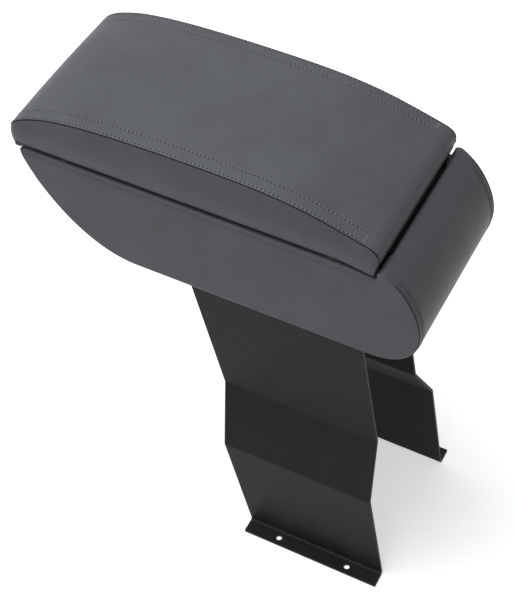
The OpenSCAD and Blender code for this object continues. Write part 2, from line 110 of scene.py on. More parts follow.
class Graph:
    """A short way to build one material's node tree."""

    def __init__(self, name: str) -> None:
        """Starts a material.

        Args:
            name: The material's name.
        """
        self.material = bpy.data.materials.new(name)
        self.material.use_nodes = True
        self.nodes = self.material.node_tree.nodes
        self.links = self.material.node_tree.links
        self.shader = self.nodes["Principled BSDF"]
        self.coords = self.nodes.new("ShaderNodeTexCoord").outputs["Object"]

    def stretch(self, scale: tuple[float, float, float]) -> None:
        """Stretches the patterns that are made from here on.

        Args:
            scale: How much finer the patterns become along each axis.
        """
        node = self.nodes.new("ShaderNodeMapping")
        node.inputs["Scale"].default_value = scale
        self.links.new(self.coords, node.inputs["Vector"])
        self.coords = node.outputs["Vector"]

    def noise(self, scale: float, detail: float = 3.0, rough: float = 0.55) -> bpy.types.NodeSocket:
        """A noise pattern's factor on the piece's own coordinates.

        Args:
            scale: Features per metre.
            detail: Octaves.
            rough: Weight of the finer octaves.

        Returns:
            The output socket.
        """
        node = self.nodes.new("ShaderNodeTexNoise")
        node.inputs["Scale"].default_value = scale
        node.inputs["Detail"].default_value = detail
        node.inputs["Roughness"].default_value = rough
        self.links.new(self.coords, node.inputs["Vector"])
        return node.outputs["Fac"]

    def cells(self, scale: float) -> bpy.types.NodeSocket:
        """A pattern of cells: the distance to their edges.

        Args:
            scale: Cells per metre.

        Returns:
            The output socket.
        """
        node = self.nodes.new("ShaderNodeTexVoronoi")
        node.feature = "DISTANCE_TO_EDGE"
        node.inputs["Scale"].default_value = scale
        self.links.new(self.coords, node.inputs["Vector"])
        return node.outputs["Distance"]

    def blend(self, a: bpy.types.NodeSocket, b: bpy.types.NodeSocket, share: float) -> bpy.types.NodeSocket:
        """Two patterns mixed by a fixed share.

        Args:
            a: The first pattern.
            b: The second pattern.
            share: How much of the second.

        Returns:
            The output socket.
        """
        node = self.nodes.new("ShaderNodeMix")
        node.inputs["Factor"].default_value = share
        self.links.new(a, node.inputs["A"])
        self.links.new(b, node.inputs["B"])
        return node.outputs["Result"]

    def colour(self, pattern: bpy.types.NodeSocket, dark: Colour, light: Colour,
               low: float = 0.3, high: float = 0.7) -> None:
        """Gives the shader a colour that runs from dark to light as a pattern does.

        Args:
            pattern: The pattern.
            dark: Colour at the low end.
            light: Colour at the high end.
            low: The pattern's value at the low end.
            high: The pattern's value at the high end.
        """
        node = self.nodes.new("ShaderNodeValToRGB")
        first, last = node.color_ramp.elements
        first.position = low
        last.position = high
        first.color = (*dark, 1.0)
        last.color = (*light, 1.0)
        self.links.new(pattern, node.inputs["Fac"])
        self.links.new(node.outputs["Color"], self.shader.inputs["Base Color"])

    def roughness(self, pattern: bpy.types.NodeSocket, low: float, high: float) -> None:
        """Gives the shader a roughness that follows a pattern.

        Args:
            pattern: The pattern, from 0 to 1.
            low: Roughness at 0.
            high: Roughness at 1.
        """
        node = self.nodes.new("ShaderNodeMapRange")
        node.inputs["To Min"].default_value = low
        node.inputs["To Max"].default_value = high
        self.links.new(pattern, node.inputs["Value"])
        self.links.new(node.outputs["Result"], self.shader.inputs["Roughness"])

    def bump(self, pattern: bpy.types.NodeSocket, depth: float, strength: float) -> None:
        """Adds a bump, on top of any that the shader has.

        Args:
            pattern: The pattern.
            depth: Height of the pattern in metres.
            strength: Share of the effect.
        """
        node = self.nodes.new("ShaderNodeBump")
        node.inputs["Distance"].default_value = depth
        node.inputs["Strength"].default_value = strength
        self.links.new(pattern, node.inputs["Height"])
        slot = self.shader.inputs["Normal"]
        if slot.is_linked:
            self.links.new(slot.links[0].from_socket, node.inputs["Normal"])
        self.links.new(node.outputs["Normal"], slot)

    def put(self, **values: float) -> None:
        """Sets plain numbers on the shader.

        Args:
            **values: Values by socket name, with underscores for its spaces.
        """
        for name, value in values.items():
            self.shader.inputs[name.replace("_", " ")].default_value = value


@dataclass(frozen=True)
class Leatherette:
    """Grey matt leatherette with a fine pebbled grain in two sizes."""

    dark: Colour = (0.066, 0.068, 0.072)
    light: Colour = (0.079, 0.082, 0.087)
    pebble: float = 900.0
    fine_pebble: float = 1710.0
    fine_share: float = 0.35
    grain_depth: float = 0.3 * MM
    crease_depth: float = 0.35 * MM

    def make(self) -> bpy.types.Material:
        """Builds the material.

        Returns:
            The material.
        """
        g = Graph("leatherette")
        g.colour(g.noise(26.0), self.dark, self.light)
        g.roughness(g.noise(140.0, detail=2.0), low=0.38, high=0.48)
        g.put(Specular_IOR_Level=0.20)
        grain = g.blend(g.cells(self.pebble), g.cells(self.fine_pebble), self.fine_share)
        g.bump(g.noise(60.0, detail=4.0), self.crease_depth, strength=0.35)
        g.bump(grain, self.grain_depth, strength=0.5)
        return g.material


@dataclass(frozen=True)
class Thread:
    """Twisted polyester sewing thread; near black and dull, the same graph also makes the painted shade of
    the seams' lines and the needle holes.
    """

    name: str
    light: Colour = (0.21, 0.215, 0.23)
    shade: float = 0.75
    sheen: float = 0.3
    gloss: float = 0.4

    def make(self) -> bpy.types.Material:
        """Builds the material.

        Returns:
            The material.
        """
        g = Graph(self.name)
        dark = tuple(self.shade * c for c in self.light)
        g.colour(g.noise(2500.0, detail=1.0), dark, self.light, low=0.35, high=0.65)
        g.put(Roughness=0.6, Sheen_Weight=self.sheen, Specular_IOR_Level=self.gloss)
        g.bump(g.noise(4000.0, detail=2.0), depth=0.08 * MM, strength=0.6)
        return g.material


@dataclass(frozen=True)
class PowderCoat:
    """Black powder coat on sheet steel, with a faint orange-peel texture."""

    dark: Colour = (0.012, 0.012, 0.013)
    light: Colour = (0.017, 0.017, 0.018)

    def make(self) -> bpy.types.Material:
        """Builds the material.

        Returns:
            The material.
        """
        g = Graph("black_powder_coat")
        g.colour(g.noise(35.0, detail=4.0), self.dark, self.light)
        g.roughness(g.noise(300.0, detail=2.0), low=0.42, high=0.56)
        g.put(Specular_IOR_Level=0.13)
        g.bump(g.noise(900.0, detail=2.0), depth=0.12 * MM, strength=0.35)
        g.bump(g.noise(3500.0, detail=1.0), depth=0.03 * MM, strength=0.3)
        return g.material


@dataclass(frozen=True)
class ZincSteel:
    """Bright zinc-plated steel of the screws, bolts, washers and tee nuts."""

    dark: Colour = (0.42, 0.43, 0.45)
    light: Colour = (0.62, 0.63, 0.64)

    def make(self) -> bpy.types.Material:
        """Builds the material.

        Returns:
            The material.
        """
        g = Graph("zinc_steel")
        g.colour(g.noise(400.0), self.dark, self.light)
        g.put(Metallic=1.0)
        g.roughness(g.noise(800.0, detail=2.0), low=0.28, high=0.42)
        g.bump(g.noise(1800.0, detail=2.0), depth=0.03 * MM, strength=0.4)
        return g.material


@dataclass(frozen=True)
class Plywood:
    """Birch plywood whose grain runs along the box."""

    dark: Colour = (0.36, 0.23, 0.11)
    light: Colour = (0.58, 0.42, 0.24)
    along_grain: float = 0.08

    def make(self) -> bpy.types.Material:
        """Builds the material.

        Returns:
            The material.
        """
        g = Graph("plywood")
        g.stretch((self.along_grain, 1.0, 1.0))
        g.colour(g.noise(260.0, detail=5.0, rough=0.6), self.dark, self.light)
        g.put(Roughness=0.7)
        g.bump(g.noise(500.0), depth=0.2 * MM, strength=0.4)
        return g.material


@dataclass(frozen=True)
class Felt:
    """Black needle felt of the linings."""

    dark: Colour = (0.012, 0.012, 0.013)
    light: Colour = (0.035, 0.035, 0.038)

    def make(self) -> bpy.types.Material:
        """Builds the material.

        Returns:
            The material.
        """
        g = Graph("felt")
        g.colour(g.noise(1500.0, detail=4.0, rough=0.7), self.dark, self.light, low=0.35, high=0.65)
        g.put(Roughness=0.95, Sheen_Weight=0.4, Sheen_Roughness=0.6)
        g.bump(g.noise(1800.0, detail=5.0, rough=0.75), depth=0.5 * MM, strength=0.7)
        return g.material


@dataclass(frozen=True)
class Rubber:
    """Black moulded rubber of the rim buffers."""

    dark: Colour = (0.012, 0.012, 0.012)
    light: Colour = (0.024, 0.024, 0.024)

    def make(self) -> bpy.types.Material:
        """Builds the material.

        Returns:
            The material.
        """
        g = Graph("rubber")
        g.colour(g.noise(600.0), self.dark, self.light)
        g.put(Roughness=0.75)
        g.bump(g.noise(1200.0, detail=2.0), depth=0.1 * MM, strength=0.4)
        return g.material


# Lines


def cubic(curve: Curve, t: float) -> Vector:
    """A point on a cubic curve.

    Args:
        curve: Its four control points.
        t: Place on the curve, from 0 to 1.

    Returns:
        The point.
    """
    a, b, c, d = (Vector(p) for p in curve)
    s = 1.0 - t
    return a * s ** 3 + b * (3 * s * s * t) + c * (3 * s * t * t) + d * t ** 3


def lengths_along(points: list[Vector]) -> list[float]:
    """How far along a line of points each one lies.

    Args:
        points: The line's points in order.

    Returns:
        The length from the first point to each of them.
    """
    lengths = [0.0]
    for a, b in zip(points, points[1:]):
        lengths.append(lengths[-1] + (b - a).length)
    return lengths


def stretch_at(lengths: list[float], want: float) -> int:
    """Finds the stretch between two points of a line in which a length along it falls.

    Args:
        lengths: What lengths_along gives.
        want: The length.

    Returns:
        The index of the stretch's first point.
    """
    k = 0
    while k < len(lengths) - 2 and lengths[k + 1] < want:
        k += 1
    return k


def shares(plain: int, close: int, turn: float) -> list[float]:
    """Places along a side line from 0 to 1, set closer together after a share of the way.

    Args:
        plain: Steps before the turn.
        close: Steps after it.
        turn: Share at which the close steps start.

    Returns:
        The places in order.
    """
    before = [turn * k / plain for k in range(plain)]
    return before + [turn + (1.0 - turn) * k / close for k in range(close + 1)]


def rounding(depth: float, radius: float) -> float:
    """How far a rounded edge draws in at a depth below it.

    Args:
        depth: The depth.
        radius: The edge's radius.

    Returns:
        The distance, which is 0 past the radius.
    """
    if depth >= radius:
        return 0.0
    rest = radius - max(depth, 0.0)
    return radius - math.sqrt(max(radius * radius - rest * rest, 0.0))


@dataclass
class SideLine:
    """An open line of cubic curves in the X-Z plane, measured along its length."""

    curves: list[Curve]
    points: list[Vector] = field(init=False, default_factory=list)
    lengths: list[float] = field(init=False)

    def __post_init__(self) -> None:
        """Samples the curves finely and measures them."""
        for curve in self.curves:
            first = 1 if self.points else 0
            self.points += [cubic(curve, k / CURVE_STEPS) for k in range(first, CURVE_STEPS + 1)]
        self.lengths = lengths_along(self.points)

    def at(self, share: float) -> Vector:
        """A point of the line.

        Args:
            share: Share of the whole length.

        Returns:
            The point, whose y is a height.
        """
        want = min(max(share, 0.0), 1.0) * self.lengths[-1]
        k = stretch_at(self.lengths, want)
        gap = self.lengths[k + 1] - self.lengths[k]
        return self.points[k].lerp(self.points[k + 1], (want - self.lengths[k]) / gap if gap else 0.0)


# Meshes


def new_mesh(name: str, bm: bmesh.types.BMesh) -> bpy.types.Mesh:
    """Turns a bmesh into a mesh and frees it.

    Args:
        name: Name of the mesh.
        bm: The bmesh.

    Returns:
        The mesh.
    """
    mesh = bpy.data.meshes.new(name)
    bm.to_mesh(mesh)
    bm.free()
    return mesh


def new_piece(name: str, bm: bmesh.types.BMesh, material: bpy.types.Material) -> bpy.types.Object:
    """Turns a bmesh into a linked, smooth-shaded object and frees the bmesh.

    Args:
        name: Name of the piece.
        bm: The mesh.
        material: Its finish.

    Returns:
        The object.
    """
    mesh = new_mesh(name, bm)
    mesh.materials.append(material)
    for polygon in mesh.polygons:
        polygon.use_smooth = True
    obj = bpy.data.objects.new(name, mesh)
    bpy.context.scene.collection.objects.link(obj)
    return obj


def apply_modifiers(obj: bpy.types.Object) -> None:
    """Replaces an object's mesh by its evaluated one and removes its modifiers.

    Args:
        obj: The object.
    """
    graph = bpy.context.evaluated_depsgraph_get()
    mesh = bpy.data.meshes.new_from_object(obj.evaluated_get(graph))
    old = obj.data
    obj.modifiers.clear()
    obj.data = mesh
    bpy.data.meshes.remove(old)


def smooth_once(obj: bpy.types.Object) -> None:
    """Subdivides an object's mesh smoothly, by one level.

    Args:
        obj: The object.
    """
    smooth = obj.modifiers.new("smooth", "SUBSURF")
    smooth.levels = 1
    smooth.render_levels = 1
    apply_modifiers(obj)


def thicken(obj: bpy.types.Object, thickness: float) -> None:
    """Gives a skin its thickness, on its inner side.

    Args:
        obj: The object.
        thickness: The thickness.
    """
    skin = obj.modifiers.new("skin", "SOLIDIFY")
    skin.thickness = thickness
    skin.offset = -1.0
    apply_modifiers(obj)


def grid(rows: int, columns: int) -> bmesh.types.BMesh:
    """A flat grid whose vertices carry their row and column.

    Args:
        rows: Rows of faces.
        columns: Columns of faces.

    Returns:
        The bmesh, with integer layers row and column on its vertices.
    """
    bm = bmesh.new()
    row = bm.verts.layers.int.new("row")
    column = bm.verts.layers.int.new("column")
    bmesh.ops.create_grid(bm, x_segments=columns, y_segments=rows, size=0.5)
    for v in bm.verts:
        v[column] = round((v.co.x + 0.5) * columns)
        v[row] = round((v.co.y + 0.5) * rows)
    return bm


def tree_of(obj: bpy.types.Object) -> BVHTree:
    """The search tree of an object's own mesh.

    Args:
        obj: The object.

    Returns:
        The tree.
    """
    bm = bmesh.new()
    bm.from_mesh(obj.data)
    tree = BVHTree.FromBMesh(bm)
    bm.free()
    return tree


def weld(bm: bmesh.types.BMesh, gap: float) -> None:
    """Merges the vertices that lie closer together than a gap."""
    bmesh.ops.remove_doubles(bm, verts=bm.verts, dist=gap)


def extrude_rim(bm: bmesh.types.BMesh) -> list[bmesh.types.BMVert]:
    """Extrudes the open rim of a skin, ready to be turned in.

    Args:
        bm: The skin.

    Returns:
        The new vertices, which still lie on the rim.
    """
    turned = bmesh.ops.extrude_edge_only(bm, edges=[e for e in bm.edges if e.is_boundary])
    return [part for part in turned["geom"] if isinstance(part, bmesh.types.BMVert)]


def turn_outward(bm: bmesh.types.BMesh, crest: int = 40) -> None:
    """Turns all faces of a skin whose faces already agree, so that the uppermost faces look up.

    Args:
        bm: The skin.
        crest: How many of the uppermost faces are asked.
    """
    bm.normal_update()
    highest = sorted(bm.faces, key=lambda face: -face.calc_center_median().z)[:crest]
    if sum(face.normal.z for face in highest) < 0:
        bmesh.ops.reverse_faces(bm, faces=bm.faces)


# Sewing


@dataclass
class Stitching:
    """Rows of sewn stitches that lie on a surface.

    The middle of a stitch lies lift times its thickness above the surface. Towards its ends it sinks by dip
    times its thickness, and loses slimming of its width. Flatness and hole_height are heights over widths.
    """

    pitch: float
    length: float
    thickness: float = 0.62 * MM
    hole: float = 0.5 * MM
    hole_height: float = 0.25
    flatness: float = 0.8
    slimming: float = 0.35
    lift: float = 0.30
    dip: float = 0.75
    facets: int = 6

    def sew(self, bm: bmesh.types.BMesh, tree: BVHTree, route: list[Vector], holes: bool = False) -> int:
        """Adds one row of stitches, or of the needle holes at their ends, along a route.

        Args:
            bm: The mesh that takes them.
            tree: The surface that they lie on.
            route: Points near the surface, in order.
            holes: Whether the needle holes are added in place of the thread.

        Returns:
            The number of stitches.
        """
        lengths = lengths_along(route)
        count = int(lengths[-1] / self.pitch)
        template = self.hole_pair() if holes else self.stitch()
        for k in range(count):
            want = (k + 0.5) * self.pitch
            i = stretch_at(lengths, want)
            way = (route[i + 1] - route[i]).normalized()
            place = route[i] + way * (want - lengths[i])
            spot, normal, _, _ = tree.find_nearest(place)
            side = normal.cross(way).normalized()
            along = side.cross(normal).normalized()
            turn = Matrix((along, side, normal)).transposed().to_4x4()
            start = len(bm.verts)
            bm.from_mesh(template)
            bm.verts.ensure_lookup_table()
            bmesh.ops.transform(bm, matrix=Matrix.Translation(spot) @ turn, verts=bm.verts[start:])
        bpy.data.meshes.remove(template)
        return count

    def line(self, bm: bmesh.types.BMesh, tree: BVHTree, route: list[Vector], radius: float) -> None:
        """Adds the dark line of a seam, where two panels meet, as a thin cord along a route: painted shade
        for the seam's groove.

        Args:
            bm: The mesh that takes it.
            tree: The surface that it lies on.
            route: Points near the surface, in order.
            radius: Half its thickness.
        """
        last = None
        for i, point in enumerate(route):
            way = (route[min(i + 1, len(route) - 1)] - route[max(i - 1, 0)]).normalized()
            spot, normal, _, _ = tree.find_nearest(point)
            side = normal.cross(way).normalized()
            up = way.cross(side)
            ring = []
            for k in range(self.facets):
                a = math.tau * k / self.facets
                ring.append(bm.verts.new(spot + (side * math.cos(a) + up * math.sin(a)) * radius))
            if last:
                for k in range(self.facets):
                    after = (k + 1) % self.facets
                    bm.faces.new((last[k], last[after], ring[after], ring[k]))
            else:
                bm.faces.new(reversed(ring))
            last = ring
        bm.faces.new(last)

    def stitch(self) -> bpy.types.Mesh:
        """One stitch along X on a level surface: a short thread whose ends dip in.

        Returns:
            The mesh.
        """
        bm = bmesh.new()
        bmesh.ops.create_cone(bm, cap_ends=True, segments=self.facets, radius1=self.thickness / 2,
                              radius2=self.thickness / 2, depth=self.length)
        long_edges = [e for e in bm.edges if abs((e.verts[0].co - e.verts[1].co).z) > self.length / 2]
        bmesh.ops.subdivide_edges(bm, edges=long_edges, cuts=3)
        for v in bm.verts:
            share = v.co.z / (self.length / 2)
            slim = 1.0 - self.slimming * share * share
            lift = self.thickness * (self.lift - self.dip * share * share)
            v.co = Vector((v.co.z, v.co.x * slim, v.co.y * slim * self.flatness + lift))
        bmesh.ops.recalc_face_normals(bm, faces=bm.faces)
        return new_mesh("stitch", bm)

    def hole_pair(self) -> bpy.types.Mesh:
        """The two needle holes of one stitch: low dark domes that barely stand above the surface, painted
        shade for the holes.

        Returns:
            The mesh.
        """
        bm = bmesh.new()
        for side in (-1.0, 1.0):
            ball = bmesh.ops.create_uvsphere(bm, u_segments=8, v_segments=4, radius=self.hole)
            for v in ball["verts"]:
                v.co = Vector((v.co.x + side * self.length / 2, v.co.y, v.co.z * self.hole_height))
        return new_mesh("needle_holes", bm)


# The upholstery


@dataclass
class Upholstery:
    """Two side panels and a middle one: rows lie across them, and columns along the seam's side line."""

    finish: bpy.types.Material
    thread: bpy.types.Material
    # The dark material of the needle holes and the seams' lines: painted shade for the holes and the seams'
    # grooves.
    hole: bpy.types.Material
    line: SideLine = field(init=False)
    rows: list[tuple[Panel, float]] = field(init=False)
    shares: list[float] = field(init=False)
    outside: BVHTree = field(init=False)

    def set_rows(self, side: list[float], middle: list[float]) -> None:
        """Sets the rows from the near side panel's hem to the far one's.

        Args:
            side: Places on a side panel from its hem, 1, towards the seam, 0.
            middle: Places on the middle panel from the near seam, -1, towards the crest, 0.
        """
        self.rows = [(Panel.NEAR, w) for w in side] + [(Panel.MIDDLE, w) for w in middle]
        self.rows += [(Panel.MIDDLE, 0.0)] + [(Panel.MIDDLE, -w) for w in reversed(middle)]
        self.rows += [(Panel.FAR, w) for w in reversed(side)]

    def place(self, share: float, panel: Panel, w: float) -> Vector:
        """A surface point, which each kind of upholstery works out from its own form."""
        raise NotImplementedError

    def laid(self) -> bmesh.types.BMesh:
        """Lays the panels out on their surface as one open grid.

        Returns:
            The bmesh, with integer layers row and column on its vertices.
        """
        bm = grid(len(self.rows) - 1, len(self.shares) - 1)
        row = bm.verts.layers.int["row"]
        column = bm.verts.layers.int["column"]
        for v in bm.verts:
            panel, w = self.rows[v[row]]
            v.co = self.place(self.shares[v[column]], panel, w)
        return bm

    def route(self, panel: Panel, w: float, start: float, end: float, steps: int) -> list[Vector]:
        """Points along a panel at one place across it.

        Args:
            panel: The panel.
            w: Place across it.
            start: Share of the side line at the first point.
            end: Share at the last point.
            steps: Number of steps between them.

        Returns:
            The points in order.
        """
        return [self.place(start + (end - start) * k / steps, panel, w) for k in range(steps + 1)]


@dataclass
class LidCushion(Upholstery):
    """The lid's cushion: a top panel over the nose and the rear, and a gusset on each side.

    The gussets draw in by edge_depth over edge_height towards the underside, and by edge_least of that at
    the rear. In the last fan_run their columns fan out to the back. The swell moves no point further than
    swell_cap, and by swell_least of that at the rear. Slack is what the pins lose away from the rear.
    """

    seam_inset: float = 2.5 * MM
    lower_radius: float = 2.8 * MM
    edge_height: float = 24.0 * MM
    edge_depth: float = 3.8 * MM
    edge_least: float = 0.1
    crown: float = 4.5 * MM
    front_gap: float = 0.3 * MM
    nose_run: float = 11.0 * MM
    nose_spread: float = 0.8 * MM
    nose_corner: float = 9.0 * MM
    rear_bulge: float = 2.0 * MM
    rear_corner: float = 1.2 * MM
    rear_fade: float = 30.0 * MM
    fan_run: float = 12.0 * MM
    hem: float = 12.0 * MM
    hem_gap: float = 0.4 * MM
    leaf_t: float = 2.0 * MM
    leaf_gap: float = 1.5 * MM
    weld_gap: float = 0.02 * MM
    skin: float = 1.5 * MM
    hem_share: float = 0.95
    slack: float = 0.97
    pressure: float = 3.0
    swell_frames: int = 16
    swell_cap: float = 2.2 * MM
    swell_least: float = 0.05
    swell_fade: float = 40.0 * MM
    groove: float = 0.5 * MM
    groove_half: float = 1.5 * MM
    # Radius of the dark cord along each seam, painted shade for the seam's groove.
    seam_line: float = 0.45 * MM
    seam_ends: tuple[float, float] = (0.02, 0.97)
    first_row: float = 2.2 * MM
    second_row: float = 11.5 * MM
    row_ends: tuple[float, float] = (0.045, 0.90)
    tack_share: float = 0.904
    tack_gap: float = 1.3 * MM
    tack_steps: int = 6
    route_steps: int = 300
    seam_steps: int = 400

    def __post_init__(self) -> None:
        """Takes the sizes from the frame, and draws the seam's side line and the rows."""
        low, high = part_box("lid_top_cover")
        self.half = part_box("lid_side_cover_left")[1].y
        self.base = low.z
        self.rise = high.z - low.z - self.crown
        self.back = high.x
        self.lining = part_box("lid_lining")[1].y + self.hem_gap
        self.board_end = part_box("lid_board")[1].x + self.hem_gap
        self.leaf_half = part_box("hinge_lid_leaf")[1].y + self.leaf_gap
        self.front = low.x + self.front_gap
        self.seam_y = self.half - self.seam_inset
        f, z, r, b = self.front, self.base, self.rise, self.back
        self.line = SideLine([
            [(f + self.nose_run, z), (f - 0.005, z), (f - 0.007, z + 0.5 * r), (f + 0.025, z + 0.725 * r)],
            [(f + 0.025, z + 0.725 * r), (f + 0.050, z + 0.954 * r), (f + 0.105, z + r), (f + 0.167, z + r)],
            [(f + 0.167, z + r), (b - 0.073, z + r), (b - 0.055, z + 0.868 * r), (b - 0.0065, z + 0.555 * r)],
            [(b - 0.0065, z + 0.555 * r), (b - 0.0015, z + 0.50 * r), (b + 0.0019, z + 0.46 * r),
             (b + 0.0019, z + 0.30 * r)],
            [(b + 0.0019, z + 0.30 * r), (b + 0.0020, z + 0.19 * r), (b + 0.0001, z + 0.20 * r), (b, z)],
        ])
        self.tip = min(p.x for p in self.line.points)
        self.fan_x = self.back - self.fan_run
        self.fan = next(k / 1000 for k in range(500, 1001) if self.line.at(k / 1000).x > self.fan_x)
        self.shares = shares(plain=98, close=26, turn=0.88)
        self.set_rows(
            side=[1.0, 0.965, 0.925, 0.88, 0.82, 0.7, 0.57, 0.44, 0.32, 0.22, 0.14, 0.08, 0.04, 0.014],
            middle=[-1.0, -0.991, -0.972, -0.945, -0.91, -0.865, -0.81, -0.75, -0.718, -0.704, -0.66, -0.55,
                    -0.42, -0.28, -0.14],
        )

    def corner_share(self, x: float) -> float:
        """Share of the width that the rounded corners leave, seen from above.

        Args:
            x: Place along the lid.

        Returns:
            The share.
        """
        nose = rounding(x - self.tip, self.nose_corner)
        rear = rounding(self.back + self.rear_bulge - x, self.rear_corner)
        return 1.0 - (nose + rear) / self.half

    def place(self, share: float, panel: Panel, w: float) -> Vector:
        """A surface point.

        Args:
            share: Share of the way along the side line.
            panel: The panel.
            w: Place across the top from -1 to 1, or down a gusset from 0 at the seam to 1.

        Returns:
            The point.
        """
        p = self.line.at(share)
        if panel is Panel.MIDDLE:
            return self.top_place(p, w)
        x, y, z = self.gusset_place(share, p, w)
        return Vector((x, -y if panel is Panel.NEAR else y, z))

    def top_place(self, p: Vector, w: float) -> Vector:
        """A point on the top panel, which is crowned and leaves room for the hinge's leaf.

        Args:
            p: The side line's point.
            w: Place across the top.

        Returns:
            The point.
        """
        x = p.x
        if x > 0:
            x -= rounding(p.y - self.base, self.lower_radius)
        y = w * self.seam_y * self.corner_share(x)
        z = p.y + self.crown * (1.0 - w * w) * ((p.y - self.base) / self.rise)
        if x > 0 and abs(y) < self.leaf_half:
            z = max(z, self.base + self.leaf_t)
        return Vector((x, y, z))

    def gusset_place(self, share: float, p: Vector, w: float) -> tuple[float, float, float]:
        """A point on the far gusset, which is drawn in at its lower edge and fanned out at the rear.

        Args:
            share: Share of the way along the side line.
            p: The side line's point.
            w: Place down the gusset.

        Returns:
            The point's coordinates.
        """
        f = 1.0 - w
        z = self.base + (p.y - self.base) * f
        floor_x = self.front + self.nose_run + share * self.nose_spread
        x = p.x + (max(p.x, floor_x) - p.x) * w ** 2
        if share > self.fan:
            turned = (share - self.fan) / (1.0 - self.fan)
            x = p.x + (self.fan_x + (self.back - self.fan_x) * turned - p.x) * w
        y = self.half - self.seam_inset * f ** 4
        drawn = self.edge_depth * min(1.0, max(self.edge_least, (self.back - x) / self.rear_fade))
        y -= rounding(z - self.base, self.edge_height) * drawn / self.edge_height * (1.0 - f * f)
        if x > 0:
            x -= rounding(z - self.base, self.lower_radius)
        y *= self.corner_share(x)
        return x, y, z

    def build(self) -> bpy.types.Object:
        """Makes the cushion's skin, swells it, presses its seams in and gives it its thickness.

        Returns:
            The piece.
        """
        bm = self.laid()
        self.pin(bm)
        self.turn_hem(bm)
        turn_outward(bm)
        self.close_bottom(bm)
        obj = new_piece("lid_cushion", bm, self.finish)
        obj.vertex_groups.new(name="pinned")
        self.swell(obj)
        self.open_bottom(obj)
        smooth_once(obj)
        self.press_seams(obj)
        self.outside = tree_of(obj)
        thicken(obj, self.skin)
        return obj

    def pin(self, bm: bmesh.types.BMesh) -> None:
        """Pins the skin at seams, hems and ends, and loosens the rest with its distance from the rear.

        Args:
            bm: The skin, whose first vertex group takes the pins.
        """
        pins = bm.verts.layers.deform.verify()
        row = bm.verts.layers.int["row"]
        column = bm.verts.layers.int["column"]
        for v in bm.verts:
            panel, w = self.rows[v[row]]
            at_seam = panel is Panel.MIDDLE and abs(w) == 1.0
            at_hem = panel is not Panel.MIDDLE and w > self.hem_share
            at_end = v[column] in (0, len(self.shares) - 1)
            from_rear = min(1.0, max(0.0, (self.back - v.co.x) / self.rear_fade))
            v[pins][0] = 1.0 if at_seam or at_hem or at_end else 1.0 - self.slack * from_rear

    def turn_hem(self, bm: bmesh.types.BMesh) -> None:
        """Turns the rim in under the board, and over the hinge's leaf where that lies.

        Args:
            bm: The skin.
        """
        pins = bm.verts.layers.deform.verify()
        weld(bm, self.weld_gap)
        for v in extrude_rim(bm):
            over_leaf = v.co.x > 0 and abs(v.co.y) < self.leaf_half
            end_x = self.board_end if over_leaf else self.back - self.hem
            v.co.x = min(max(v.co.x, self.front + self.nose_run + self.hem), end_x)
            v.co.y = min(max(v.co.y, -self.lining), self.lining)
            v.co.z = self.base + (self.leaf_t if over_leaf else 0.0)
            v[pins][0] = 1.0
        weld(bm, self.weld_gap)

    def close_bottom(self, bm: bmesh.types.BMesh) -> None:
        """Closes the skin between its hems for the swell, with faces that look down.

        Args:
            bm: The skin.
        """
        cap = bmesh.ops.holes_fill(bm, edges=[e for e in bm.edges if e.is_boundary])
        bm.normal_update()
        for face in cap["faces"]:
            if face.normal.z > 0:
                face.normal_flip()
        LOG.info("cushion closed with %d faces", len(cap["faces"]))

    def swell(self, obj: bpy.types.Object) -> None:
        """Blows the panels up between their seams as cloth over foam, within a small cap.

        Args:
            obj: The piece.
        """
        scene = bpy.context.scene
        start = [v.co.copy() for v in obj.data.vertices]
        cloth = obj.modifiers.new("swell", "CLOTH")
        cloth.settings.vertex_group_mass = "pinned"
        cloth.settings.use_pressure = True
        cloth.settings.uniform_pressure_force = self.pressure
        cloth.settings.tension_stiffness = 40
        cloth.settings.bending_stiffness = 2.0
        cloth.settings.effector_weights.gravity = 0.0
        cloth.settings.quality = 4
        cloth.point_cache.frame_start = 1
        cloth.point_cache.frame_end = self.swell_frames
        for frame in range(1, self.swell_frames + 1):
            scene.frame_set(frame)
        graph = bpy.context.evaluated_depsgraph_get()
        moved = [v.co.copy() for v in obj.evaluated_get(graph).data.vertices]
        obj.modifiers.clear()
        scene.frame_set(1)
        for v, a, b in zip(obj.data.vertices, start, moved):
            step = b - a
            cap = self.swell_cap * min(1.0, max(self.swell_least, (self.back - a.x) / self.swell_fade))
            if step.length > cap:
                step *= cap / step.length
            v.co = a + step

    def open_bottom(self, obj: bpy.types.Object) -> None:
        """Takes the closing face, the largest, out of the underside.

        Args:
            obj: The piece.
        """
        bm = bmesh.new()
        bm.from_mesh(obj.data)
        inner = max(bm.faces, key=lambda face: face.calc_area())
        bmesh.ops.delete(bm, geom=[inner], context="FACES_ONLY")
        bm.to_mesh(obj.data)
        bm.free()

    def seam_tree(self, side: float) -> BVHTree:
        """The search tree of a hair-thin strip along a seam.

        Args:
            side: -1 for the near seam, 1 for the far one.

        Returns:
            The tree.
        """
        strip = bmesh.new()
        across = Vector((0.0, self.weld_gap, self.weld_gap))
        last = None
        for p in self.route(Panel.MIDDLE, side, 0.0, 1.0, self.seam_steps):
            pair = (strip.verts.new(p), strip.verts.new(p + across))
            if last:
                strip.faces.new((last[0], *pair, last[1]))
            last = pair
        tree = BVHTree.FromBMesh(strip)
        strip.free()
        return tree

    def press_seams(self, obj: bpy.types.Object) -> None:
        """Presses the skin in along both seams, fully at the top and less towards the underside.

        Args:
            obj: The piece.
        """
        near = self.seam_tree(SIDES[Panel.NEAR])
        far = self.seam_tree(SIDES[Panel.FAR])
        for v in obj.data.vertices:
            _, _, _, gap = (near if v.co.y < 0 else far).find_nearest(v.co)
            if gap < self.groove_half:
                fade = min(1.0, (v.co.z - self.base) / self.rise)
                v.co -= v.normal * self.groove * fade * (1.0 - gap / self.groove_half) ** 2

